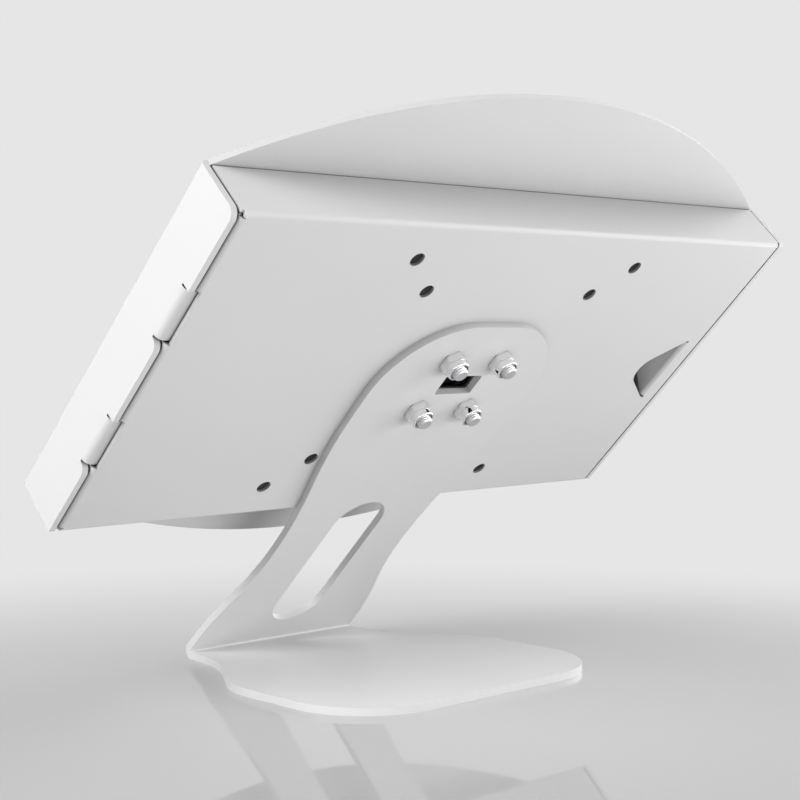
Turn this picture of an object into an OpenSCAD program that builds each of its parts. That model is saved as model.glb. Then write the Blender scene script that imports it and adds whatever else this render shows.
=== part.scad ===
// Tablet security kiosk: a folded steel tablet enclosure on a bent steel desk stand.
// Every size is in millimetres. X runs across, Y runs from the user to the back, Z is up.
// The enclosure is drawn flat with its back panel down, then tilted onto the stand.

/* [Stand plate] */
// Thickness of the bent stand plate
plate_thick = 2.5; // [2:0.5:4]
// Inside radius of the sharp fold between base and neck
fold_radius = 0.5; // [0.3:0.1:2]
// Slope of the neck and of the tablet from the desk, in degrees
tilt = 45; // [40:1:55]
// Full width of the base
base_width = 120.8; // [108:0.4:140]
// Length of the base from the fold to its rear edge
base_length = 114.8; // [110:0.4:140]
// Radius of the two rear corners of the base
base_corner = 30; // [20:1:34]
// Radius where the flare meets the straight sides of the base
shoulder_radius = 30; // [20:1:34]
// Radius where the neck width starts to flare out into the base
flare_radius = 50; // [40:1:56]
// Angle of the flare to the centre line, in degrees
flare_angle = 33; // [31:1:36]
// Distance from the fold to the centre of the mounting head
neck_length = 136.5; // [130:0.5:150]
// Full width of the neck at the fold
fold_width = 76; // [70:1:80]
// Full width of the neck at its waist
waist_width = 60.4; // [54:0.4:64]
// Distance from the fold up to the waist
waist_height = 54; // [48:1:60]
// Full width of the mounting head
head_width = 76.4; // [70:0.4:84]
// Height of the head above its centre
head_top = 26.5; // [24:0.5:32]
// Height of the straight sides of the head below its centre
head_low = 12.3; // [8:0.1:16]
// Radius of the two upper corners of the head
head_corner = 30; // [22:1:32]
// Width of the long slot in the neck
slot_width = 22; // [14:1:26]
// Length of the long slot in the neck
slot_length = 66; // [50:1:68]
// Distance from the fold to the lower end of the slot
slot_start = 11.6; // [9:0.2:16]

/* [Bolted joint] */
// Sideways distance from the head centre to the enclosure centre
side_shift = 2.6; // [0:0.2:4]
// Distance up the slope from the head centre to the enclosure centre
slope_shift = 1.7; // [0:0.1:4]
// Spacing of the four bolts, a square
bolt_pitch = 22.7; // [21.9:0.1:25]
// Outside diameter of the bolt thread
bolt_size = 5; // [4.6:0.1:5.2]
// Length of the bolts under their heads
bolt_length = 12.2; // [11.6:0.1:14]
// Diameter of the round bolt heads
bolt_head_size = 9.5; // [8.6:0.1:10]
// Height of the round bolt heads
bolt_head_height = 2.6; // [2.2:0.1:2.8]
// Diameter of the bolt holes
bolt_hole = 5.4; // [5.3:0.1:5.8]
// Distance across the flats of the hexagonal nuts
nut_flats = 8; // [8:0.1:9]
// Height of the hexagonal part of a nut
nut_hex_height = 2.8; // [2.6:0.1:3.4]
// Slope of the chamfers of a nut, in degrees
nut_chamfer = 30; // [25:1:40]
// Full height of a nut with its round collar
nut_height = 5; // [4.7:0.1:5.2]
// Outside diameter of the round collar of a nut
nut_collar = 7.6; // [7.2:0.1:7.8]
// Radius of the rounded rim of a nut
nut_round = 0.5; // [0.3:0.1:0.6]
// Width of the rim of a nut around its nylon ring
nut_rim = 0.65; // [0.6:0.05:0.8]
// Depth of the nylon ring behind the rim of the nut
nut_recess = 0.7; // [0.4:0.1:0.9]
// Height of the groove that holds the nylon ring
nut_groove = 1.3; // [1:0.1:1.5]
// Width of the cable hole in the head
head_hole_width = 16.6; // [12:0.2:17]
// Height of the cable hole in the head
head_hole_height = 8.4; // [6:0.2:9]
// Space by which the cable hole in the panel is larger than the one in the head
panel_hole_gap = 0.4; // [0.2:0.1:0.8]
// Thickness of the backing plate inside the enclosure
backing_thick = 2; // [1.6:0.1:2.4]
// Side of the square backing plate
backing_side = 44; // [40:1:46]

/* [Back box] */
// Sheet thickness of the back box
box_sheet = 1; // [0.8:0.1:1.2]
// Full width of the back box
box_width = 241.6; // [238:0.4:250]
// Full height of the back box along the slope
box_height = 127; // [126:0.5:134]
// Outer bend radius of the back box
box_bend = 1.5; // [1.3:0.1:1.7]
// Depth of the upper and lower walls of the back box
box_depth = 18.5; // [18:0.1:19.5]
// Depth of the two side walls of the back box
side_wall_depth = 14; // [12:0.5:14.5]
// Width of the slits between the folded walls at the corners of the back box
corner_gap = 0.4; // [0.3:0.1:0.6]
// Distance from the outside of the back box to the ends of its upper and lower bends
corner_notch = 1; // [0.8:0.1:1.3]
// Distance by which the upper and lower walls stop short for the swing of the cover
swing_set = 0.4; // [0.4:0.1:0.8]
// Diameter of the monitor mount holes
mount_hole = 5; // [4.5:0.1:5.5]
// Spacing of the inner set of monitor mount holes
mount_inner = 75; // [74:1:76]
// Spacing of the outer set of monitor mount holes
mount_outer = 100; // [99:1:101]
// Distance from the side of the back box to the folded tab of the cable exit
exit_inset = 8.6; // [7.8:0.2:10.8]
// Full height of the cable exit at its fold
exit_height = 30; // [24:0.2:34]
// Radius of the rounded tip of the cable exit
exit_tip = 7.5; // [6:0.1:9]
// Distance from the fold of the cable exit to the centre of its rounded tip
exit_reach = 7.7; // [7:0.1:8]
// Width of the two slits beside the folded tab of the cable exit
exit_slit = 0.8; // [0.6:0.1:1.2]
// Outer bend radius of the folded tab of the cable exit
exit_bend = 1.5; // [1.3:0.1:2]

/* [Front cover] */
// Sheet thickness of the front cover
cover_sheet = 2; // [1.5:0.1:2.2]
// Space between the back box and the side flanges of the cover
cover_gap = 0.7; // [0.7:0.05:1]
// Space between the rim of the back box and the cover plate
rim_gap = 0.4; // [0.35:0.05:0.6]
// Outer bend radius of the cover flanges
cover_bend = 2.3; // [2.3:0.1:3]
// Distance that the back panel stands behind the flange edge
flange_recess = 0.5; // [0.3:0.1:0.8]
// Height of the arch of the cover above the back box
arch_height = 34.9; // [30:0.1:42]
// Distance of the ends of the arch below the edge of the back box
arch_drop = 0.2; // [0:0.1:0.6]
// Radius of the rounded rear corners of the hinge flange
flange_corner = 3.3; // [2:0.1:4]
// Radius of the rounded rear corner of the lock flange
lock_corner = 1.2; // [0.8:0.1:2]
// Distance from the side of the tablet to the screen window
window_inset_x = 16; // [12:0.5:24]
// Distance from the upper edge of the tablet to the screen window
window_inset_y = 11.5; // [9:0.5:16]
// Corner radius of the screen window
window_corner = 3; // [2:0.5:6]

/* [Hook hinge] */
// Length of one hook tab along the hinge
hook_length = 18.4; // [14:0.2:20]
// Distance from the middle of the cover to the middle of a hook tab
hook_offset = 25.3; // [22:0.1:34]
// Width of the slit beside a hook tab
hook_slit = 0.8; // [0.6:0.1:1.2]
// Space between a hook tab and the back panel
hook_clear = 0.4; // [0.35:0.05:0.5]
// Outer bend radius of a hook tab
hook_bend = 2.4; // [2.3:0.1:2.6]
// Length of a hook tab under the back panel
hook_reach = 5.7; // [5:0.1:6]
// Distance from the outside of the back box to the edge of the hook opening
hook_opening = 1.3; // [1.3:0.05:1.6]
// Depth of the hook opening in the side wall of the back box
hook_window = 9.6; // [9.4:0.1:10]

/* [Cam lock] */
// Distance from the lower edge of the back box to the lock
lock_inset = 23.5; // [22.5:0.5:25.5]
// Width of the cut in the side wall behind the lock
lock_cut = 22; // [21:0.5:26]
// Distance from the back panel to the lock axis
lock_level = 10.2; // [10:0.1:10.3]
// Diameter of the lock barrel
barrel_size = 12; // [11.6:0.1:12.2]
// Distance between the two flats of the lock barrel
barrel_flats = 10.6; // [10.4:0.1:11]
// Diameter of the round lock head
lock_head_size = 16; // [15:0.5:16]
// Thickness of the round lock head
lock_head_thick = 2; // [1.8:0.1:3]
// Length of the barrel inside the outer face of the flange
barrel_length = 15.6; // [15:0.1:15.8]
// Distance across the flats of the barrel nut
barrel_nut_flats = 15; // [14.6:0.1:15.2]
// Thickness of the barrel nut
barrel_nut_thick = 3; // [2.5:0.1:4]
// Diameter of the turning plug
plug_size = 8; // [7.8:0.1:8.2]
// Running clearance of the plug in the barrel, on the radius
plug_clear = 0.05; // [0.04:0.01:0.1]
// Distance that the plug stands out of the barrel, up to the cam
plug_tail = 1.5; // [1.4:0.1:1.8]
// Length of the cam blade from the lock axis
cam_reach = 8; // [7.8:0.1:8.1]
// Width of the cam blade
cam_width = 7; // [6:0.1:7.2]
// Thickness of the cam blade
cam_thick = 2; // [1.6:0.1:2.2]
// Thickness of the keeper bracket
keeper_thick = 1.5; // [1.2:0.1:1.8]
// Length of the keeper bracket along the enclosure
keeper_length = 8; // [6:0.5:9]

/* [Tablet fittings] */
// Distance from the side of the back box to the tablet
tablet_inset_x = 26.8; // [26.4:0.2:31]
// Distance from the upper edge of the back box to the tablet
tablet_inset_y = 6; // [5.5:0.5:9.5]
// Length of each arm of a corner guide
guide_arm = 16; // [12:1:18]
// Wall thickness of a corner guide
guide_wall = 2.6; // [2.2:0.1:3]
// Height of a corner guide
guide_height = 12; // [11:0.5:14]
// Thickness of the adhesive pads under the corner guides
tape_thick = 1; // [0.6:0.1:1.2]
// Thickness of the foam liner
liner_thick = 8; // [7.8:0.1:9]
// Side of the square recess in the foam liner
liner_recess = 52; // [50:1:56]
// Width of the cable channel in the foam liner
liner_channel = 14; // [10:1:18]
// Thickness of the window gasket
gasket_thick = 0.6; // [0.5:0.1:0.8]
// Width of the window gasket
gasket_width = 5; // [4:0.5:6]

/* [Hidden] */
$fn = 96;

// Rounds a length so that neighbouring outlines meet exactly
function snap(v) = round(v * 500) / 500;

fold_y = 1.5 - base_length / 2;
rear_y = fold_y + base_length;
fold_set = fold_radius / tan(tilt / 2);
head_y = fold_y + neck_length * cos(tilt) - plate_thick * sin(tilt);
head_z = plate_thick + neck_length * sin(tilt) + plate_thick * cos(tilt);
panel_y = head_y + slope_shift * cos(tilt);
panel_z = head_z + slope_shift * sin(tilt);
lap = 0.05;
half_w = box_width / 2;
half_h = box_height / 2;
cover_in = half_w + cover_gap;
cover_out = cover_in + cover_sheet;
plate_z = box_depth + rim_gap;
front_z = plate_z + cover_sheet;
plate_edge = cover_out - cover_bend;
arch_end = half_h - arch_drop;
arch_top = half_h + arch_height;
arch_sag = arch_top - arch_end;
arch_radius = snap((arch_sag * arch_sag + plate_edge * plate_edge) / (2 * arch_sag));
arch_y = arch_top - arch_radius;
flange_end = snap(arch_end - 0.08);
hinge_x = half_w - hook_opening;
hook_z = box_sheet + hook_clear;
exit_fold = half_w - exit_inset;
exit_half = exit_height / 2;
tab_half = exit_half - exit_slit;
lock_y = lock_inset - half_h;
tablet_width = box_width - 2 * tablet_inset_x;
tablet_height = box_height - 2 * tablet_inset_y;
window_width = tablet_width - 2 * window_inset_x;
window_height = tablet_height - 2 * window_inset_y;
washer_thick = 0.6;
cam_z = barrel_length + plug_tail;
cam_hub = 10;
cam_washer_thick = 0.8;
screw_size = 3;
screw_length = 7.5;
screw_top = cam_z + cam_thick + cam_washer_thick;
screw_tip = screw_top - screw_length;
clip_size = 10.4;
clip_thick = 0.8;
clip_z = barrel_length + 0.15;
shank_side = 5;
key_disc = 10.4;
key_disc_thick = 1;
keeper_gap = 0.5;
keeper_top = lock_level + cam_width / 2 + keeper_gap;
keeper_edge = lock_y - cam_hub / 2 - 0.6;
keeper_wall = lock_y - cam_reach - 2;
keeper_foot = 8;
keeper_x = cam_z - cover_out - 0.6;
bolt_head_z = box_sheet + backing_thick;

// Placing
module on_head() {
  translate([0, head_y, head_z]) rotate([tilt, 0, 0]) children();
}

module on_panel() {
  translate([side_shift, panel_y, panel_z]) rotate([tilt, 0, 0]) children();
}

module at_bolts() {
  for (x = [-1, 1]) {
    for (y = [-1, 1]) {
      translate([x * bolt_pitch / 2, y * bolt_pitch / 2, 0]) children();
    }
  }
}

module at_lock() {
  on_panel() translate([-cover_out, lock_y, lock_level]) rotate([0, 90, 0]) rotate([0, 0, 90]) children();
}

module twice() {
  children();
  mirror([1, 0, 0]) children();
}

module rounded_rect(w, h, r) {
  square([w - 2 * r, h], center = true);
  square([w, h - 2 * r], center = true);
  for (x = [-1, 1]) {
    for (y = [-1, 1]) {
      translate([x * (w / 2 - r), y * (h / 2 - r)]) circle(r);
    }
  }
}

// Rectangular cable hole of the bolted joint, larger all round by a gap
module cable_hole(gap) {
  rounded_rect(head_hole_width + 2 * gap, head_hole_height + 2 * gap, 0.8 + gap);
}

// Quarter ring of a sheet bend, centred on the bend axis, lapping over the sheets it joins
module quarter_bend(r, sheet) {
  translate([-lap, -r]) square([lap, sheet]);
  translate([r - sheet, 0]) square([sheet, lap]);
  difference() {
    intersection() {
      circle(r);
      translate([0, -r]) square(r);
    }
    circle(r - sheet);
  }
}

// Band whose two sides follow equal tangent arcs from a wide to a thin width
module waist_band(wide_y, wide, thin_y, thin) {
  rise = snap(abs(wide_y - thin_y));
  step = snap(wide - thin);
  arc = snap((rise * rise + step * step) / (4 * step));
  mid_y = (wide_y + thin_y) / 2;
  intersection() {
    translate([-wide, min(wide_y, mid_y)]) square([2 * wide, rise / 2]);
    translate([wide - arc, wide_y]) circle(arc, $fn = 360);
    translate([arc - wide, wide_y]) circle(arc, $fn = 360);
  }
  difference() {
    translate([-thin - step / 2, min(thin_y, mid_y)]) square([2 * thin + step, rise / 2]);
    translate([thin + arc, thin_y]) circle(arc, $fn = 360);
    translate([-thin - arc, thin_y]) circle(arc, $fn = 360);
  }
}

// Base: neck width, concave flare, slanted run, convex shoulder, straight sides, round rear corners
module base_outline() {
  wide = base_width / 2;
  thin = fold_width / 2;
  c = 1 - cos(flare_angle);
  s = sin(flare_angle);
  run = (wide - thin - (shoulder_radius + flare_radius) * c) / s;
  start_y = snap(fold_y + fold_set + 0.6);
  thin_y = snap(fold_y + 2.6);
  neck_x = snap(thin + flare_radius * c);
  neck_y = snap(thin_y + flare_radius * s);
  edge_x = snap(wide - shoulder_radius * c);
  edge_y = snap(neck_y + run * cos(flare_angle));
  wide_y = snap(edge_y + shoulder_radius * s);
  translate([-wide, wide_y]) square([2 * wide, rear_y - base_corner - wide_y]);
  translate([base_corner - wide, wide_y]) square([2 * (wide - base_corner), rear_y - wide_y]);
  translate([shoulder_radius - wide, edge_y]) square([2 * (wide - shoulder_radius), wide_y - edge_y]);
  for (x = [-1, 1]) {
    translate([x * (wide - base_corner), rear_y - base_corner]) circle(base_corner, $fn = 180);
    translate([x * (wide - shoulder_radius), wide_y]) circle(shoulder_radius, $fn = 180);
  }
  polygon([[edge_x, edge_y], [-edge_x, edge_y], [-neck_x, neck_y], [neck_x, neck_y]]);
  difference() {
    translate([-neck_x, thin_y]) square([2 * neck_x, neck_y - thin_y]);
    translate([thin + flare_radius, thin_y]) circle(flare_radius, $fn = 240);
    translate([-thin - flare_radius, thin_y]) circle(flare_radius, $fn = 240);
  }
  translate([-thin, start_y]) square([2 * thin, thin_y - start_y]);
}

// Neck and head, drawn from the head centre
module neck_outline() {
  wide = head_width / 2;
  corner_y = head_top - head_corner;
  waist_y = waist_height - neck_length;
  start_y = snap(fold_set + 0.6 - neck_length);
  flare_y = snap(start_y + 0.8);
  translate([-wide, -head_low]) square([2 * wide, corner_y + head_low]);
  translate([head_corner - wide, -head_low]) square([2 * (wide - head_corner), head_top + head_low]);
  for (x = [-1, 1]) {
    translate([x * (wide - head_corner), corner_y]) intersection() {
      circle(head_corner, $fn = 180);
      translate([-head_corner, 0]) square([2 * head_corner, head_corner]);
    }
  }
  waist_band(-head_low, wide, waist_y, waist_width / 2);
  waist_band(flare_y, fold_width / 2, waist_y, waist_width / 2);
  translate([-fold_width / 2, start_y]) square([fold_width, flare_y - start_y]);
}

module neck_slot() {
  slot_y = slot_start - neck_length;
  translate([0, slot_y + slot_width / 2]) circle(slot_width / 2);
  translate([0, slot_y + slot_length - slot_width / 2]) circle(slot_width / 2);
  translate([-slot_width / 2, slot_y + slot_width / 2]) square([slot_width, slot_length - slot_width]);
}

module fold_profile() {
  far = 2 * (plate_thick + fold_radius);
  stub = 1.2;
  translate([0, -fold_radius - plate_thick]) square([stub, plate_thick]);
  rotate(tilt) translate([0, fold_radius]) square([stub, plate_thick]);
  difference() {
    intersection() {
      circle(fold_radius + plate_thick);
      polygon([[0, 0], [0, -far], [-2 * far, -far], [-2 * far, far], [-far * sin(tilt), far * cos(tilt)]]);
    }
    circle(fold_radius);
  }
}

module stand_plate() {
  color("white")
  difference() {
    union() {
      linear_extrude(plate_thick) base_outline();
      translate([-fold_width / 2, fold_y + fold_set, plate_thick + fold_radius])
        rotate([90, 0, 90]) linear_extrude(fold_width) fold_profile();
      on_head() translate([0, 0, -plate_thick]) linear_extrude(plate_thick) neck_outline();
    }
    on_head() translate([0, 0, -plate_thick - 1]) linear_extrude(plate_thick + 2) {
      cable_hole(0);
      neck_slot();
    }
    on_head() at_bolts() translate([0, 0, -plate_thick - 1]) cylinder(d = bolt_hole, h = plate_thick + 2);
  }
}

// Two opposite bends of the back box with their walls
module wall_section(half, depth) {
  for (m = [0, 1]) {
    mirror([m, 0]) {
      translate([half - box_bend, box_bend]) quarter_bend(box_bend, box_sheet);
      translate([half - box_sheet, box_bend]) square([box_sheet, depth - box_bend]);
    }
  }
}

// Leaf shape of the cable exit: flat at the fold, rounded at the tip
module exit_outline(half, tip) {
  far = sqrt(exit_reach * exit_reach + half * half);
  a = atan2(half, exit_reach) + acos(tip / far);
  tip_x = snap((tip - 0.003) * cos(a) - exit_reach);
  tip_y = snap((tip - 0.003) * sin(a));
  translate([-exit_reach, 0]) circle(tip);
  polygon([[0, half], [tip_x, tip_y], [tip_x, -tip_y], [0, -half]]);
}

// The same leaf, opened past its fold for the bend and the two slits
module exit_opening() {
  exit_outline(exit_half, exit_tip);
  translate([0, -exit_half]) square([exit_bend, 2 * exit_half]);
}

module exit_tab() {
  translate([-exit_fold - box_sheet, 0, exit_bend]) rotate([0, 90, 0])
    linear_extrude(box_sheet) exit_outline(tab_half, exit_tip - exit_slit / 2);
  translate([-exit_fold - exit_bend, tab_half, exit_bend]) rotate([90, 0, 0])
    linear_extrude(2 * tab_half) quarter_bend(exit_bend, box_sheet);
}

// Upper and lower walls reach the corners, the side walls stop just short of them
module box_walls() {
  corner = box_sheet + corner_gap;
  for (y = [box_sheet - half_h, half_h]) {
    translate([swing_set - half_w, y - box_sheet, box_bend])
      cube([box_width - swing_set, box_sheet, box_depth - box_bend]);
  }
  for (x = [box_sheet - half_w, half_w]) {
    translate([x - box_sheet, corner - half_h, box_bend])
      cube([box_sheet, box_height - 2 * corner, side_wall_depth - box_bend]);
  }
}

module back_box() {
  color("white")
  on_panel() {
    difference() {
      union() {
        translate([box_bend - half_w, box_bend - half_h, 0])
          cube([box_width - 2 * box_bend, box_height - 2 * box_bend, box_sheet]);
        translate([0, half_h - box_bend - corner_gap, 0]) rotate([90, 0, 0])
          linear_extrude(box_height - 2 * box_bend - 2 * corner_gap) wall_section(half_w, side_wall_depth);
        translate([corner_notch - half_w, 0, 0]) rotate([90, 0, 90])
          linear_extrude(box_width - 2 * corner_notch) wall_section(half_h, box_depth);
        box_walls();
      }
      for (y = [-1, 1]) {
        translate([hinge_x, y * hook_offset - hook_length / 2 - hook_slit, -1])
          cube([hook_opening + 1, hook_length + 2 * hook_slit, hook_window + 1]);
      }
      for (p = [mount_inner, mount_outer]) {
        for (x = [-1, 1]) {
          for (y = [-1, 1]) {
            translate([x * p / 2, y * p / 2, -1]) cylinder(d = mount_hole, h = box_sheet + 2);
          }
        }
      }
      translate([-side_shift, -slope_shift, -1]) linear_extrude(box_sheet + 2) cable_hole(panel_hole_gap);
      translate([-side_shift, -slope_shift, -1]) at_bolts() cylinder(d = bolt_hole, h = box_sheet + 2);
      translate([-exit_fold, 0, -1]) mirror([1, 0, 0])
        linear_extrude(box_sheet + 2) exit_opening();
      translate([-half_w - 1, lock_y - lock_cut / 2, box_bend])
        cube([box_sheet + 2, lock_cut, side_wall_depth]);
    }
    exit_tab();
  }
}

// Front cover
module cover_outline() {
  intersection() {
    translate([-plate_edge, -arch_top - 1]) square([2 * plate_edge, 2 * arch_top + 2]);
    translate([0, arch_y]) circle(arch_radius, $fn = 360);
    translate([0, -arch_y]) circle(arch_radius, $fn = 360);
  }
}

// One length of flange in side view, its upper rear corner rounded by r
module flange_run(low, high, r) {
  top = front_z - cover_bend;
  translate([low, flange_recess]) square([high - r - low, top - flange_recess]);
  translate([low, flange_recess + r]) square([high - low, top - flange_recess - r]);
  translate([high - r, flange_recess + r]) circle(r);
}

module cover_bend_strip() {
  translate([plate_edge, -flange_end, front_z - cover_bend]) mirror([0, 0, 1]) rotate([90, 0, 0])
    mirror([0, 0, 1]) linear_extrude(2 * flange_end) quarter_bend(cover_bend, cover_sheet);
}

module hook_tab() {
  slot = hook_length / 2;
  translate([cover_out - hook_bend, slot, hook_z + hook_bend]) rotate([90, 0, 0])
    linear_extrude(2 * slot) quarter_bend(hook_bend, cover_sheet);
  translate([hinge_x - hook_reach, -slot, hook_z])
    cube([cover_out - hook_bend - hinge_x + hook_reach, 2 * slot, cover_sheet]);
}

module hinge_flange() {
  gap = hook_length / 2 + hook_slit;
  deep = hook_z + hook_bend;
  translate([cover_in, 0, 0]) rotate([90, 0, 90]) linear_extrude(cover_sheet) {
    flange_run(-flange_end, -hook_offset - gap, flange_corner);
    flange_run(gap - hook_offset, hook_offset - gap, flange_corner);
    flange_run(hook_offset + gap, flange_end, flange_corner);
    translate([-flange_end, deep + flange_corner]) square([2 * flange_end, front_z - cover_bend - deep - flange_corner]);
    for (y = [-1, 1]) {
      translate([y * hook_offset - gap - 0.01, deep]) square([2 * gap + 0.02, flange_corner]);
    }
  }
}

module lock_flange() {
  translate([-cover_out, 0, 0]) rotate([90, 0, 90]) linear_extrude(cover_sheet) difference() {
    flange_run(-flange_end, flange_end, lock_corner);
    translate([lock_y, lock_level]) intersection() {
      circle(barrel_size / 2 + 0.1);
      square([barrel_size + 2, barrel_flats + 0.2], center = true);
    }
  }
}

module front_cover() {
  color("white")
  on_panel() {
    translate([0, 0, plate_z]) linear_extrude(cover_sheet) difference() {
      cover_outline();
      rounded_rect(window_width, window_height, window_corner);
    }
    twice() cover_bend_strip();
    hinge_flange();
    lock_flange();
    for (y = [-1, 1]) {
      translate([0, y * hook_offset, 0]) hook_tab();
    }
  }
}

// Bolted joint
module backing_plate() {
  color("silver")
  on_head() translate([0, 0, box_sheet]) linear_extrude(backing_thick) difference() {
    rounded_rect(backing_side, backing_side, 3);
    cable_hole(panel_hole_gap + 1);
    at_bolts() circle(d = bolt_hole);
  }
}

module stand_bolts() {
  color("silver")
  on_head() at_bolts() translate([0, 0, bolt_head_z]) {
    difference() {
      union() {
        cylinder(d = bolt_head_size, h = bolt_head_height - 0.8);
        translate([0, 0, bolt_head_height - 0.8])
          cylinder(d1 = bolt_head_size, d2 = bolt_head_size - 2, h = 0.8);
      }
      translate([0, 0, 1]) cylinder(d = 3.4, h = bolt_head_height, $fn = 6);
    }
    translate([0, 0, 0.5 - bolt_length]) cylinder(d = bolt_size, h = bolt_length - 0.5);
    translate([0, 0, -bolt_length]) cylinder(d1 = bolt_size - 0.8, d2 = bolt_size, h = 0.5);
  }
}

// Half section of the round collar of a nut, from its rim inward
module collar_section(high) {
  bore = bolt_size / 2;
  edge = nut_collar / 2;
  translate([bore, 0]) square([edge - nut_round - bore, high]);
  translate([bore, nut_round]) square([edge - bore, high - nut_round]);
  translate([edge - nut_round, nut_round]) circle(nut_round, $fn = 32);
}

module nyloc_nuts() {
  collar = nut_height - nut_hex_height;
  spread = 2 * nut_hex_height / tan(nut_chamfer);
  color("silver")
  on_head() at_bolts() translate([0, 0, -plate_thick - nut_height]) difference() {
    union() {
      translate([0, 0, collar]) intersection() {
        rotate(30) cylinder(d = nut_flats / cos(30), h = nut_hex_height, $fn = 6);
        cylinder(d1 = nut_collar + 0.1, d2 = nut_collar + 0.1 + spread, h = nut_hex_height);
        cylinder(d1 = nut_flats + 0.1 + spread, d2 = nut_flats + 0.1, h = nut_hex_height);
      }
      rotate_extrude() collar_section(collar + 0.2);
    }
    translate([0, 0, -1]) cylinder(d = bolt_size + 0.1, h = nut_height + 2);
    translate([0, 0, -1]) cylinder(d = nut_collar - 2 * nut_rim, h = nut_recess + nut_groove + 1);
  }
}

module nut_inserts() {
  color("white")
  on_head() at_bolts() translate([0, 0, nut_recess - plate_thick - nut_height]) difference() {
    cylinder(d = nut_collar - 2 * nut_rim - 0.1, h = nut_groove - 0.05);
    translate([0, 0, -1]) cylinder(d = bolt_size + 0.04, h = nut_groove + 2);
  }
}

// Cam lock, drawn along its own axis from the outer face of the flange inward
module lock_barrel() {
  color("silver")
  at_lock() difference() {
    union() {
      translate([0, 0, -lock_head_thick]) cylinder(d1 = lock_head_size - 1.2, d2 = lock_head_size, h = 0.6);
      translate([0, 0, 0.6 - lock_head_thick]) cylinder(d = lock_head_size, h = lock_head_thick - 0.6);
      intersection() {
        translate([0, 0, -0.2]) cylinder(d = barrel_size, h = barrel_length + 0.2);
        translate([-barrel_size, -barrel_flats / 2, -0.2]) cube([2 * barrel_size, barrel_flats, barrel_length + 0.2]);
      }
    }
    translate([0, 0, -lock_head_thick - 1]) cylinder(r = plug_size / 2 + plug_clear, h = barrel_length + lock_head_thick + 2);
    translate([0, 0, -lock_head_thick - 1]) cylinder(r = key_disc / 2 + plug_clear, h = 1 + key_disc_thick + 0.05);
  }
}

module barrel_washer() {
  color("silver")
  at_lock() translate([0, 0, cover_sheet]) difference() {
    cylinder(d = barrel_nut_flats + 0.4, h = washer_thick);
    translate([0, 0, -1]) cylinder(d = barrel_size + 0.3, h = 3);
  }
}

module barrel_nut() {
  color("silver")
  at_lock() translate([0, 0, cover_sheet + washer_thick]) difference() {
    intersection() {
      cylinder(d = barrel_nut_flats / cos(30), h = barrel_nut_thick, $fn = 6);
      cylinder(d1 = barrel_nut_flats + 2 * barrel_nut_thick, d2 = barrel_nut_flats + 0.2, h = barrel_nut_thick);
    }
    translate([0, 0, -1]) cylinder(d = barrel_size + 0.1, h = barrel_nut_thick + 2);
  }
}

module lock_plug() {
  color("silver")
  at_lock() difference() {
    union() {
      translate([0, 0, -lock_head_thick]) cylinder(d = key_disc, h = key_disc_thick);
      translate([0, 0, -1.2]) cylinder(d = plug_size, h = cam_z + 1.2);
      translate([-shank_side / 2, -shank_side / 2, cam_z - 0.1]) cube([shank_side, shank_side, cam_thick]);
    }
    translate([-0.6, -3.4, -lock_head_thick - 1]) cube([1.2, 6.8, 9]);
    translate([0, 0, screw_tip - 1.2]) cylinder(d = screw_size + 0.04, h = screw_length + 1.2);
    translate([0, 0, clip_z - 0.05]) difference() {
      cylinder(d = plug_size + 2, h = clip_thick + 0.1);
      translate([0, 0, -1]) cylinder(d = plug_size - 1.2, h = clip_thick + 3);
    }
  }
}

module plug_clip() {
  color("silver")
  at_lock() translate([0, 0, clip_z]) difference() {
    cylinder(d = clip_size, h = clip_thick);
    translate([0, 0, -1]) cylinder(d = plug_size - 1.16, h = clip_thick + 2);
    translate([-2, 0, -1]) cube([4, clip_size, clip_thick + 2]);
  }
}

module lock_cam() {
  color("silver")
  at_lock() translate([0, 0, cam_z]) linear_extrude(cam_thick) difference() {
    union() {
      circle(d = cam_hub);
      intersection() {
        translate([-cam_width / 2, -cam_reach]) square([cam_width, cam_reach]);
        circle(cam_reach);
      }
    }
    square(shank_side + 0.04, center = true);
  }
}

module cam_washer() {
  color("silver")
  at_lock() translate([0, 0, cam_z + cam_thick]) difference() {
    cylinder(d = 8, h = cam_washer_thick);
    translate([0, 0, -1]) cylinder(d = screw_size + 0.3, h = 3);
  }
}

module cam_screw() {
  color("silver")
  at_lock() translate([0, 0, screw_top]) difference() {
    union() {
      cylinder(d = 5.6, h = 1.4);
      translate([0, 0, 1.4]) cylinder(d1 = 5.6, d2 = 4.2, h = 0.6);
      translate([0, 0, -screw_length]) cylinder(d = screw_size, h = screw_length + 0.1);
    }
    translate([-0.35, -3, 1.2]) cube([0.7, 6, 2]);
    translate([-3, -0.35, 1.2]) cube([6, 0.7, 2]);
  }
}

// Keeper: foot on the back panel, upright wall and a lip over the turned cam
module lock_keeper() {
  r = keeper_thick + 0.5;
  top = keeper_top + keeper_thick;
  color("silver")
  on_panel() translate([keeper_x, 0, 0]) rotate([90, 0, 90]) linear_extrude(keeper_length) {
    translate([keeper_wall - keeper_foot, box_sheet]) square([keeper_foot - r, keeper_thick]);
    translate([keeper_wall - r, box_sheet + r]) quarter_bend(r, keeper_thick);
    translate([keeper_wall - keeper_thick, box_sheet + r]) square([keeper_thick, top - box_sheet - 2 * r]);
    translate([keeper_wall - keeper_thick + r, top - r]) rotate(180) quarter_bend(r, keeper_thick);
    translate([keeper_wall - keeper_thick + r, keeper_top]) square([keeper_edge - keeper_wall + keeper_thick - r, keeper_thick]);
  }
}

// Tablet fittings
module guide_outline() {
  side = guide_arm + guide_wall;
  difference() {
    translate([guide_wall - side, guide_wall - side]) square(side);
    translate([-side, -side]) square(side);
    translate([guide_wall - 2, guide_wall - 2]) difference() {
      square(3);
      circle(2);
    }
  }
}

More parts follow.
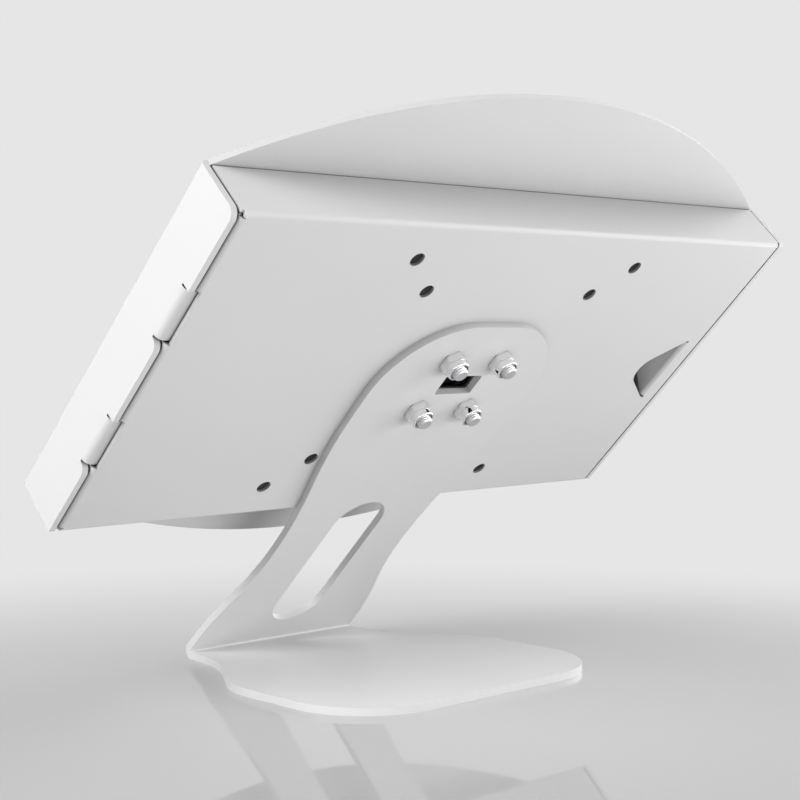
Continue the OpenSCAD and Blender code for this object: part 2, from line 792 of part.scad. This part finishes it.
module at_corners() {
  for (x = [-1, 1]) {
    for (y = [-1, 1]) {
      scale([x, y, 1]) translate([tablet_width / 2 + 0.2, tablet_height / 2 + 0.2, 0]) children();
    }
  }
}

module corner_guides() {
  color("dimgray")
  on_panel() at_corners() translate([0, 0, box_sheet + tape_thick]) {
    linear_extrude(guide_height - tape_thick) guide_outline();
  }
}

module guide_tapes() {
  color("white")
  on_panel() at_corners() translate([0, 0, box_sheet]) linear_extrude(tape_thick) guide_outline();
}

module foam_liner() {
  w = tablet_width - 2;
  h = tablet_height - 2;
  color("black")
  on_panel() translate([0, 0, box_sheet]) difference() {
    translate([-w / 2, -h / 2, 0]) cube([w, h, liner_thick]);
    translate([-side_shift - liner_recess / 2, -slope_shift - liner_recess / 2, -1])
      cube([liner_recess, liner_recess, backing_thick + bolt_head_height + 1.6]);
    translate([-w / 2 - 1, -slope_shift - liner_channel / 2, -1])
      cube([w / 2, liner_channel, backing_thick + bolt_head_height + 1.6]);
  }
}

module window_gasket() {
  inner_w = window_width + 2;
  inner_h = window_height + 2;
  color("dimgray")
  on_panel() translate([0, 0, plate_z - gasket_thick]) linear_extrude(gasket_thick) difference() {
    rounded_rect(inner_w + 2 * gasket_width, inner_h + 2 * gasket_width, window_corner + 1);
    rounded_rect(inner_w, inner_h, window_corner);
  }
}

stand_plate();
back_box();
front_cover();
backing_plate();
stand_bolts();
nyloc_nuts();
nut_inserts();
lock_barrel();
barrel_washer();
barrel_nut();
lock_plug();
plug_clip();
lock_cam();
cam_washer();
cam_screw();
lock_keeper();
corner_guides();
guide_tapes();
foam_liner();
window_gasket();
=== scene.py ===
import math

import bmesh
import bpy
from mathutils import Matrix, Vector


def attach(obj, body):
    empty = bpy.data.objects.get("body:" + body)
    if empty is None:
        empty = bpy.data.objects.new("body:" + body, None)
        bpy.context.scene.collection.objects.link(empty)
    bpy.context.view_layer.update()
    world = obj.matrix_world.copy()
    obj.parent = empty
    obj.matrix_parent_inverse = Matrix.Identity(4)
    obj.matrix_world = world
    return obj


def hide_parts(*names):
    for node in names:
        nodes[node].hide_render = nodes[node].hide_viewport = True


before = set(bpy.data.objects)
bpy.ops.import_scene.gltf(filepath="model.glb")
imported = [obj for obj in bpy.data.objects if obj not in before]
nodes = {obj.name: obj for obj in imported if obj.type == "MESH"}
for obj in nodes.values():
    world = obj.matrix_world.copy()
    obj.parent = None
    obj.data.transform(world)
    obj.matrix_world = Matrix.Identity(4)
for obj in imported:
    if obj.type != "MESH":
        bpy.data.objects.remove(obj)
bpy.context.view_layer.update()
bpy.context.scene.view_settings.view_transform = "Standard"


# Camera, set to the viewing angle of the photograph
CAMERA_LENS = 74.47
CAMERA_SENSOR = 36.0
CAMERA_CLIP = (0.01, 100.0)
CAMERA_PLACE = (0.38631, 0.41811, 0.11839)
CAMERA_AIM = (-0.6894, -0.7230, -0.0449)


def add_camera():
    data = bpy.data.cameras.new("camera")
    data.lens = CAMERA_LENS
    data.sensor_width = CAMERA_SENSOR
    data.clip_start, data.clip_end = CAMERA_CLIP
    cam = bpy.data.objects.new("camera", data)
    bpy.context.scene.collection.objects.link(cam)
    cam.location = CAMERA_PLACE
    cam.rotation_euler = Vector(CAMERA_AIM).to_track_quat("-Z", "Y").to_euler()
    bpy.context.scene.camera = cam


# Node helpers
def new_material(name):
    mat = bpy.data.materials.new(name)
    mat.use_nodes = True
    tree = mat.node_tree
    tree.nodes.clear()
    out = tree.nodes.new("ShaderNodeOutputMaterial")
    bsdf = tree.nodes.new("ShaderNodeBsdfPrincipled")
    tree.links.new(bsdf.outputs["BSDF"], out.inputs["Surface"])
    return mat, tree, bsdf, out


def noise(tree, scale, detail, rough, vector):
    node = tree.nodes.new("ShaderNodeTexNoise")
    node.inputs["Scale"].default_value = scale
    node.inputs["Detail"].default_value = detail
    node.inputs["Roughness"].default_value = rough
    tree.links.new(vector, node.inputs["Vector"])
    return node


def ramp(tree, fac, stops):
    node = tree.nodes.new("ShaderNodeValToRGB")
    while len(node.color_ramp.elements) < len(stops):
        node.color_ramp.elements.new(0.5)
    for element, (pos, col) in zip(node.color_ramp.elements, stops):
        element.position = pos
        element.color = (col[0], col[1], col[2], 1.0)
    tree.links.new(fac, node.inputs["Fac"])
    return node


def span(tree, value, to_low, to_high, from_low=0.0, from_high=1.0):
    """The value moved from one range to another"""
    node = tree.nodes.new("ShaderNodeMapRange")
    node.inputs["From Min"].default_value = from_low
    node.inputs["From Max"].default_value = from_high
    node.inputs["To Min"].default_value = to_low
    node.inputs["To Max"].default_value = to_high
    tree.links.new(value, node.inputs["Value"])
    return node.outputs["Result"]


def bump(tree, height, strength, distance):
    node = tree.nodes.new("ShaderNodeBump")
    node.inputs["Strength"].default_value = strength
    node.inputs["Distance"].default_value = distance
    tree.links.new(height, node.inputs["Height"])
    return node.outputs["Normal"]


def maths(tree, operation, first, second):
    node = tree.nodes.new("ShaderNodeMath")
    node.operation = operation
    tree.links.new(first, node.inputs[0])
    tree.links.new(second, node.inputs[1])
    return node.outputs["Value"]


def coords(tree):
    return tree.nodes.new("ShaderNodeTexCoord").outputs["Object"]


def seen_directly(tree):
    """1 for rays from the camera and for mirror and glass rays, else 0"""
    path = tree.nodes.new("ShaderNodeLightPath")
    mirror = maths(tree, "MAXIMUM", path.outputs["Is Glossy Ray"], path.outputs["Is Transmission Ray"])
    return maths(tree, "MAXIMUM", path.outputs["Is Camera Ray"], mirror)


# Materials: tones, then sizes of the grain as noise scales, then depths of the bumps in metres
COAT_WHITE = (0.76, 0.76, 0.76)
COAT_ROUGH = 0.42
COAT_SHINE = 0.45
# Painted shade: how far the ambient-occlusion darkening of the coat reaches on the box and cover and on
# the stand plate, its samples, the heights over which it fades in above the ground, and its tone ramp
BOX_SHADE_REACH = 0.03
PLATE_SHADE_REACH = 0.006
PAINTED_SHADE_SAMPLES = 8
PAINTED_SHADE_HEIGHTS = (0.015, 0.04)
PAINTED_SHADE_TONES = [(0.0, 0.03), (0.3, 0.24), (0.5, 0.7), (0.8, 0.94), (1.0, 1.0)]
COAT_CLOUD = 22.0
COAT_GRAIN = 2600.0
COAT_PEEL = 700.0
METAL_CLOUD = 140.0
METAL_FINE = 900.0
FOAM_CELL = 1500.0
LEAST_ROUGH = 0.03
COAT_DEPTH = 0.0002
METAL_DEPTH = 0.0001
MOULD_DEPTH = 0.0002
FOAM_DEPTH = 0.0004


def painted_crevice_shade(tree, co, colour, reach):
    """Painted shade: the coat colour darkened by ambient occlusion in gaps, holes and inner corners
    within reach, but not near the ground
    """
    place = tree.nodes.new("ShaderNodeSeparateXYZ")
    tree.links.new(co, place.inputs[0])
    near = tree.nodes.new("ShaderNodeAmbientOcclusion")
    near.samples = PAINTED_SHADE_SAMPLES
    near.inputs["Distance"].default_value = reach
    tones = ramp(tree, near.outputs["AO"], [(at, [tone] * 3) for at, tone in PAINTED_SHADE_TONES])
    mix = tree.nodes.new("ShaderNodeMix")
    mix.data_type = "RGBA"
    mix.blend_type = "MULTIPLY"
    tree.links.new(span(tree, place.outputs["Z"], 0.0, 1.0, *PAINTED_SHADE_HEIGHTS), mix.inputs["Factor"])
    tree.links.new(colour, mix.inputs["A"])
    tree.links.new(tones.outputs["Color"], mix.inputs["B"])
    return mix.outputs["Result"]


def powder_coat(name, reach):
    mat, tree, bsdf, _ = new_material(name)
    co = coords(tree)
    cloud = noise(tree, COAT_CLOUD, 3.0, 0.5, co)
    grain = noise(tree, COAT_GRAIN, 2.0, 0.5, co)
    peel = noise(tree, COAT_PEEL, 3.0, 0.6, co)
    tint = ramp(tree, cloud.outputs["Fac"], [(0.3, [c * 0.985 for c in COAT_WHITE]), (0.7, COAT_WHITE)])
    gloss = span(tree, grain.outputs["Fac"], COAT_ROUGH - 0.05, COAT_ROUGH + 0.07)
    # The base colour carries painted shade in gaps, holes and inner corners
    tree.links.new(painted_crevice_shade(tree, co, tint.outputs["Color"], reach), bsdf.inputs["Base Color"])
    tree.links.new(gloss, bsdf.inputs["Roughness"])
    tree.links.new(bump(tree, peel.outputs["Fac"], 0.06, COAT_DEPTH), bsdf.inputs["Normal"])
    bsdf.inputs["Specular IOR Level"].default_value = COAT_SHINE
    return mat


def plated(name, base, rough, spread=0.08):
    mat, tree, bsdf, _ = new_material(name)
    co = coords(tree)
    cloud = noise(tree, METAL_CLOUD, 4.0, 0.6, co)
    fine = noise(tree, METAL_FINE, 3.0, 0.6, co)
    tint = ramp(tree, cloud.outputs["Fac"], [(0.25, [c * 0.9 for c in base]), (0.75, base)])
    tree.links.new(tint.outputs["Color"], bsdf.inputs["Base Color"])
    gloss = span(tree, fine.outputs["Fac"], max(rough - spread, LEAST_ROUGH), rough + spread)
    tree.links.new(gloss, bsdf.inputs["Roughness"])
    tree.links.new(bump(tree, fine.outputs["Fac"], 0.05, METAL_DEPTH), bsdf.inputs["Normal"])
    bsdf.inputs["Metallic"].default_value = 1.0
    return mat


def moulded(name, base, rough, scale=1800.0, strength=0.2):
    mat, tree, bsdf, _ = new_material(name)
    grain = noise(tree, scale, 4.0, 0.6, coords(tree))
    tint = ramp(tree, grain.outputs["Fac"], [(0.3, [c * 0.85 for c in base]), (0.7, base)])
    tree.links.new(tint.outputs["Color"], bsdf.inputs["Base Color"])
    tree.links.new(span(tree, grain.outputs["Fac"], rough - 0.08, rough + 0.08), bsdf.inputs["Roughness"])
    tree.links.new(bump(tree, grain.outputs["Fac"], strength, MOULD_DEPTH), bsdf.inputs["Normal"])
    return mat


def cell_foam(name, base):
    mat, tree, bsdf, _ = new_material(name)
    cells = tree.nodes.new("ShaderNodeTexVoronoi")
    cells.inputs["Scale"].default_value = FOAM_CELL
    tree.links.new(coords(tree), cells.inputs["Vector"])
    depth = cells.outputs["Distance"]
    tint = ramp(tree, depth, [(0.1, [c * 0.5 for c in base]), (0.6, base)])
    tree.links.new(tint.outputs["Color"], bsdf.inputs["Base Color"])
    tree.links.new(span(tree, depth, 0.8, 0.95), bsdf.inputs["Roughness"])
    tree.links.new(bump(tree, depth, 0.5, FOAM_DEPTH), bsdf.inputs["Normal"])
    return mat


def paint_nodes():
    """Gives each carried-over node its material and returns the zinc of the bolts"""
    # Both coats carry painted shade: it reaches far on the box and cover and only a short way on the
    # stand plate
    coat = powder_coat("white_powder_coat", BOX_SHADE_REACH)
    plate_coat = powder_coat("plate_powder_coat", PLATE_SHADE_REACH)
    zinc = plated("zinc_plate", (0.74, 0.74, 0.75), 0.48)
    # Painted shade: the backing plate, seen only through the cable hole, is made near black so the hole
    # looks dark inside; the real plate is zinc plated
    hole_shade_black = plated("painted_hole_shade", (0.055, 0.055, 0.057), 0.5)
    chrome = plated("nut_chrome", (0.90, 0.90, 0.91), 0.09, 0.03)
    # Painted shade: the nylon inserts are dark grey rather than their pale nylon, so they look shaded
    # inside the nuts
    nylon = moulded("nylon", (0.24, 0.25, 0.26), 0.45, 900.0, 0.1)
    plastic = moulded("guide_plastic", (0.035, 0.035, 0.037), 0.55)
    tape = moulded("adhesive_tape", (0.62, 0.61, 0.57), 0.6, 700.0, 0.3)
    foam = cell_foam("black_foam", (0.022, 0.022, 0.022))
    rubber = moulded("gasket_rubber", (0.025, 0.025, 0.026), 0.7, 1200.0, 0.3)
    looks = {
        "stand_plate": plate_coat, "back_box": coat, "front_cover": coat,
        "backing_plate": hole_shade_black, "stand_bolts": zinc, "nyloc_nuts": chrome, "nut_inserts": nylon,
        "lock_barrel": chrome, "barrel_washer": zinc, "barrel_nut": zinc, "lock_plug": chrome,
        "plug_clip": zinc, "lock_cam": zinc, "cam_washer": zinc, "cam_screw": zinc,
        "lock_keeper": zinc, "corner_guides": plastic, "guide_tapes": tape,
        "foam_liner": foam, "window_gasket": rubber,
    }
    for name, mat in looks.items():
        mesh = nodes[name].data
        mesh.materials.clear()
        mesh.materials.append(mat)
    return zinc


# Threaded bolts, in metres along the axes of the bolted joint
HEAD_CENTRE = Vector((0.0, 0.038852, 0.100788))
HEAD_TILT = 45.0
BOLT_SPREAD = 0.01135
BOLT_PLACES = [(x * BOLT_SPREAD, y * BOLT_SPREAD) for x in (-1, 1) for y in (-1, 1)]
HEAD_LOW = 0.003
HEAD_HIGH = 0.0056
HEAD_RADIUS = 0.00475
HEAD_CHAMFER = 0.0008
SOCKET_RADIUS = 0.0017
SOCKET_FLOOR = 0.004
SHANK_RADIUS = 0.0025
ROOT_RADIUS = 0.0021
SHANK_END = -0.0092
THREAD_START = -0.0055
THREAD_PITCH = 0.0008
THREAD_SIDES = 24
THREAD_STEP = 0.0001
THREAD_CREST = 1.25
END_CHAMFER = 0.0005
SHARP_ANGLE = 35.0


def thread_radius(height, turn):
    """Radius of the helical thread at a height and a part of a full turn"""
    phase = (height / THREAD_PITCH - turn) % 1.0
    flank = abs(2.0 * phase - 1.0)
    radius = ROOT_RADIUS + (SHANK_RADIUS - ROOT_RADIUS) * min(1.0, THREAD_CREST * flank)
    fade = min(1.0, max(0.0, (height - THREAD_START) / THREAD_PITCH + 1.0))
    radius += (SHANK_RADIUS - radius) * fade
    return min(radius, SHANK_RADIUS - END_CHAMFER + height - SHANK_END)


def ring(bm, height, radii):
    count = len(radii)
    verts = []
    for i, radius in enumerate(radii):
        angle = 2.0 * math.pi * i / count
        verts.append(bm.verts.new((radius * math.cos(angle), radius * math.sin(angle), height)))
    return verts


def bridge(bm, lower, upper):
    count = len(lower)
    for i in range(count):
        j = (i + 1) % count
        bm.faces.new((lower[i], lower[j], upper[j], upper[i]))


def bolt_rings(bm):
    """Rings of one bolt from the thread end up to the socket floor"""
    rings = []
    height = SHANK_END
    while height < THREAD_START:
        radii = [thread_radius(height, i / THREAD_SIDES) for i in range(THREAD_SIDES)]
        rings.append(ring(bm, height, radii))
        height += THREAD_STEP
    profile = [
        (HEAD_LOW, SHANK_RADIUS),
        (HEAD_LOW, HEAD_RADIUS),
        (HEAD_HIGH - HEAD_CHAMFER, HEAD_RADIUS),
        (HEAD_HIGH, HEAD_RADIUS - HEAD_CHAMFER),
    ]
    for high, radius in profile:
        rings.append(ring(bm, high, [radius] * THREAD_SIDES))
    for high in (HEAD_HIGH, SOCKET_FLOOR):
        rings.append(ring(bm, high, socket_radii()))
    return rings


def socket_radii():
    """Hexagon as distances from the centre, one for each side of the thread rings"""
    flat = SOCKET_RADIUS * math.cos(math.pi / 6.0)
    radii = []
    for i in range(THREAD_SIDES):
        angle = (2.0 * math.pi * i / THREAD_SIDES) % (math.pi / 3.0) - math.pi / 6.0
        radii.append(flat / math.cos(angle))
    return radii


def add_bolts(mat):
    bm = bmesh.new()
    turn = Matrix.Rotation(math.radians(HEAD_TILT), 4, "X")
    for x, y in BOLT_PLACES:
        start = len(bm.verts)
        rings = bolt_rings(bm)
        bm.faces.new(list(reversed(rings[0])))
        bm.faces.new(rings[-1])
        for lower, upper in zip(rings, rings[1:]):
            bridge(bm, lower, upper)
        bm.verts.ensure_lookup_table()
        place = Matrix.Translation(HEAD_CENTRE) @ turn @ Matrix.Translation((x, y, 0.0))
        bmesh.ops.transform(bm, matrix=place, verts=bm.verts[start:])
    mesh = bpy.data.meshes.new("threaded_bolts")
    bm.to_mesh(mesh)
    bm.free()
    mesh.shade_smooth()
    mesh.set_sharp_from_angle(angle=math.radians(SHARP_ANGLE))
    mesh.materials.append(mat)
    bolts = bpy.data.objects.new("threaded_bolts", mesh)
    bpy.context.scene.collection.objects.link(bolts)
    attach(bolts, "enclosure")
    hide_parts("stand_bolts")


# Pale floor that runs into the plain background
BACKGROUND = 0.79
FLOOR_TONE = 0.58
FLOOR_CLOUD = 0.005
FLOOR_GRAIN = 3.0
FLOOR_HALF = 12.0
FLOOR_GLOSS = 0.03
POOL_CENTRE = (0.10, 0.105, 0.0)
FADE_NEAR = 0.17
FADE_FAR = 0.42


def far_off(tree, co):
    """0 in the pool of floor round the object and 1 where it has run into the background"""
    reach = tree.nodes.new("ShaderNodeVectorMath")
    reach.operation = "DISTANCE"
    reach.inputs[1].default_value = POOL_CENTRE
    tree.links.new(co, reach.inputs[0])
    fade = tree.nodes.new("ShaderNodeMapRange")
    fade.interpolation_type = "SMOOTHSTEP"
    fade.inputs["From Min"].default_value = FADE_NEAR
    fade.inputs["From Max"].default_value = FADE_FAR
    tree.links.new(reach.outputs["Value"], fade.inputs["Value"])
    return fade.outputs["Result"]


def floor_material():
    mat, tree, bsdf, out = new_material("studio_floor")
    co = coords(tree)
    cloud = noise(tree, FLOOR_GRAIN, 2.0, 0.5, co)
    tones = [(0.3, [FLOOR_TONE - FLOOR_CLOUD] * 3), (0.7, [FLOOR_TONE + FLOOR_CLOUD] * 3)]
    tint = ramp(tree, cloud.outputs["Fac"], tones)
    tree.links.new(tint.outputs["Color"], bsdf.inputs["Base Color"])
    bsdf.inputs["Roughness"].default_value = FLOOR_GLOSS
    plain = tree.nodes.new("ShaderNodeEmission")
    plain.inputs["Strength"].default_value = BACKGROUND
    join = tree.nodes.new("ShaderNodeMixShader")
    tree.links.new(maths(tree, "MULTIPLY", far_off(tree, co), seen_directly(tree)), join.inputs[0])
    tree.links.new(bsdf.outputs["BSDF"], join.inputs[1])
    tree.links.new(plain.outputs["Emission"], join.inputs[2])
    tree.links.new(join.outputs["Shader"], out.inputs["Surface"])
    return mat


def add_floor():
    bm = bmesh.new()
    bmesh.ops.create_grid(bm, x_segments=1, y_segments=1, size=FLOOR_HALF)
    mesh = bpy.data.meshes.new("floor")
    bm.to_mesh(mesh)
    bm.free()
    mesh.materials.append(floor_material())
    plane = bpy.data.objects.new("floor", mesh)
    bpy.context.scene.collection.objects.link(plane)
    return plane


# World: the plain background where it is seen, a weak glow for everything else
AMBIENT = 0.01


def add_world():
    world = bpy.data.worlds.new("studio")
    bpy.context.scene.world = world
    world.use_nodes = True
    tree = world.node_tree
    tree.nodes.clear()
    out = tree.nodes.new("ShaderNodeOutputWorld")
    back = tree.nodes.new("ShaderNodeBackground")
    back.inputs["Color"].default_value = (1.0, 1.0, 1.0, 1.0)
    tree.links.new(span(tree, seen_directly(tree), AMBIENT, BACKGROUND), back.inputs["Strength"])
    tree.links.new(back.outputs["Background"], out.inputs["Surface"])


# Soft studio lamps: azimuth, elevation, distance, width, height and power.
# The near ones fill in the shaded back and leave the floor dark.
LAMPS = {
    "key": (0.0, 30.0, 1.5, 1.1, 1.1, 24.0),
    "left": (180.0, 30.0, 1.5, 1.1, 1.1, 4.5),
    "low_left": (180.0, 10.0, 1.5, 1.2, 0.4, 7.2),
    "low_back": (138.0, 12.0, 1.5, 0.6, 0.5, 5.0),
    "top": (120.0, 60.0, 1.5, 1.1, 1.1, 3.5),
    "near_left": (155.0, -4.0, 0.42, 0.3, 0.07, 0.34),
    "near_back": (100.0, -4.0, 0.42, 0.3, 0.07, 0.41),
    "near_right": (62.0, -4.0, 0.42, 0.3, 0.07, 0.22),
}
LAMP_AIM = Vector((0.0, 0.02, 0.07))


def receivers(name, floor, state):
    """What a lamp lights: INCLUDE for the floor alone, EXCLUDE for all but the floor"""
    group = bpy.data.collections.new(name)
    group.objects.link(floor)
    group.collection_objects[0].light_linking.link_state = state
    return group


def add_lamp(name, azimuth, elevation, distance, wide, high, power):
    data = bpy.data.lights.new(name, "AREA")
    data.shape = "RECTANGLE"
    data.size = wide
    data.size_y = high
    data.energy = power
    lamp = bpy.data.objects.new(name, data)
    bpy.context.scene.collection.objects.link(lamp)
    turn = math.radians(azimuth)
    rise = math.radians(elevation)
    toward = Vector((math.cos(rise) * math.cos(turn), math.cos(rise) * math.sin(turn), math.sin(rise)))
    lamp.location = LAMP_AIM + distance * toward
    lamp.rotation_euler = toward.to_track_quat("Z", "Y").to_euler()
    lamp.visible_camera = False
    return lamp


def add_lamps(floor):
    """The floor has far lamps of its own, which no mirror shows"""
    floor_only = receivers("floor_only", floor, "INCLUDE")
    all_but_floor = receivers("all_but_floor", floor, "EXCLUDE")
    for name, setting in LAMPS.items():
        add_lamp(name, *setting).light_linking.receiver_collection = all_but_floor
        if name.startswith("near"):
            continue
        floor_lamp = add_lamp(name + "_floor", *setting)
        floor_lamp.light_linking.receiver_collection = floor_only
        floor_lamp.visible_glossy = False


add_camera()
add_bolts(paint_nodes())
studio_floor = add_floor()
add_world()
add_lamps(studio_floor)
